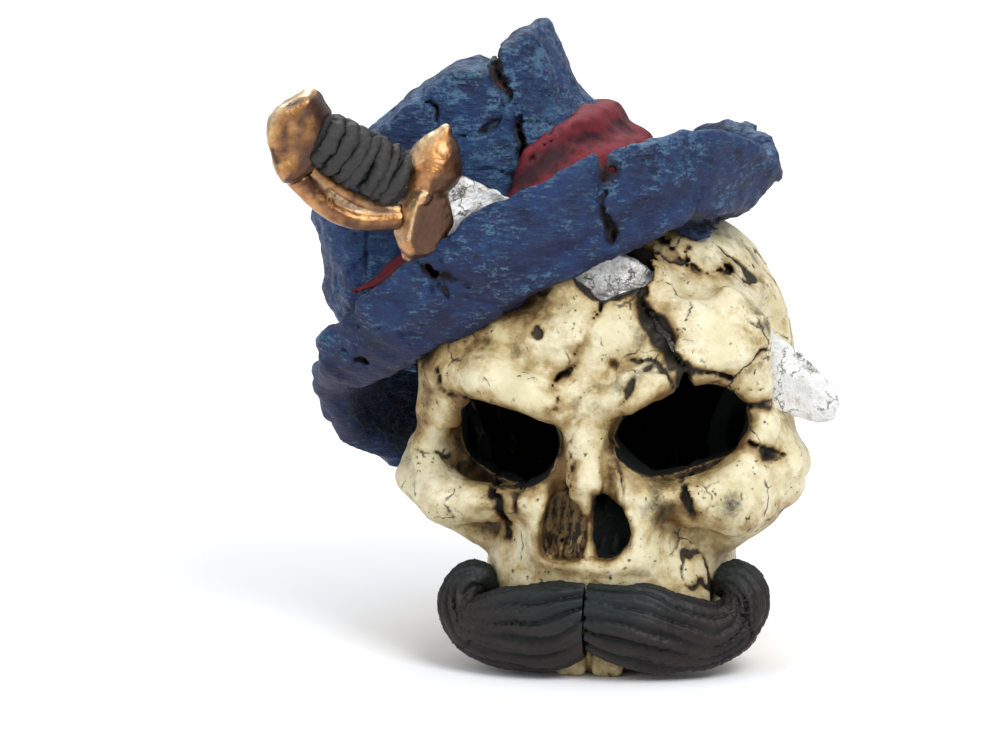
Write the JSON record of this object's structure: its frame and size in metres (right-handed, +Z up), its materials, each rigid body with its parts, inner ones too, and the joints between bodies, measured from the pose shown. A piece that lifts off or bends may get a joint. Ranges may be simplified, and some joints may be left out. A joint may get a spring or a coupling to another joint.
{
  "type": "aquarium bubbling ornament",
  "caption": "Hollow cast skull ornament wearing a brimmed hat run through by a cutlass, with a moustache; an inner air stone bubbles out through the open eyes.",
  "frame": {"origin": "on the resting face, at the floor below the middle of the skull", "axes": "+Z up, the face looks along -Y, +X is the viewer's right when facing the ornament, +Y is the way the air inlet stub points"},
  "size_m": [0.144, 0.1226, 0.1613],
  "materials": {
    "bone_resin": "matte painted, dark wash in the hollows",
    "tooth_resin": "matte painted",
    "moustache_resin": "satin painted",
    "hat_resin": "painted, metallic highlights on raised edges",
    "band_resin": "painted",
    "silver_resin": "metallic silver paint",
    "copper_resin": "metallic copper paint",
    "grip_resin": "gloss painted",
    "steel": "plain",
    "plate_plastic": "moulded",
    "clip_plastic": "moulded",
    "porous_stone": "rough, porous",
    "barb_plastic": "moulded",
    "silicone": "translucent",
    "black_rubber": "moulded"
  },
  "bodies": {
    "ornament": {"skull_shell": "bone_resin", "incisors": "tooth_resin", "moustache_left": "moustache_resin", "moustache_right": "moustache_resin", "hat_crown": "hat_resin", "hat_brim": "hat_resin", "hat_band": "band_resin", "sword_blade": "silver_resin", "sword_guard": "copper_resin", "sword_pommel": "copper_resin", "knuckle_bow": "copper_resin", "sword_grip": "grip_resin", "sword_tang": "steel", "base_plate": "plate_plastic", "base_screws": "steel", "stone_clip": "clip_plastic", "clip_screws": "steel", "inner_airline": "silicone", "inlet_grommet": "black_rubber", "air_inlet": "barb_plastic"},
    "air_stone": {"air_stone": "porous_stone", "stone_stem": "barb_plastic"}
  },
  "joints": [
    {"name": "air_stone_pull", "type": "slide", "parent": "ornament", "child": "air_stone", "axis": [0, -1, 0], "range_m": [0, 0.012]}
  ]
}
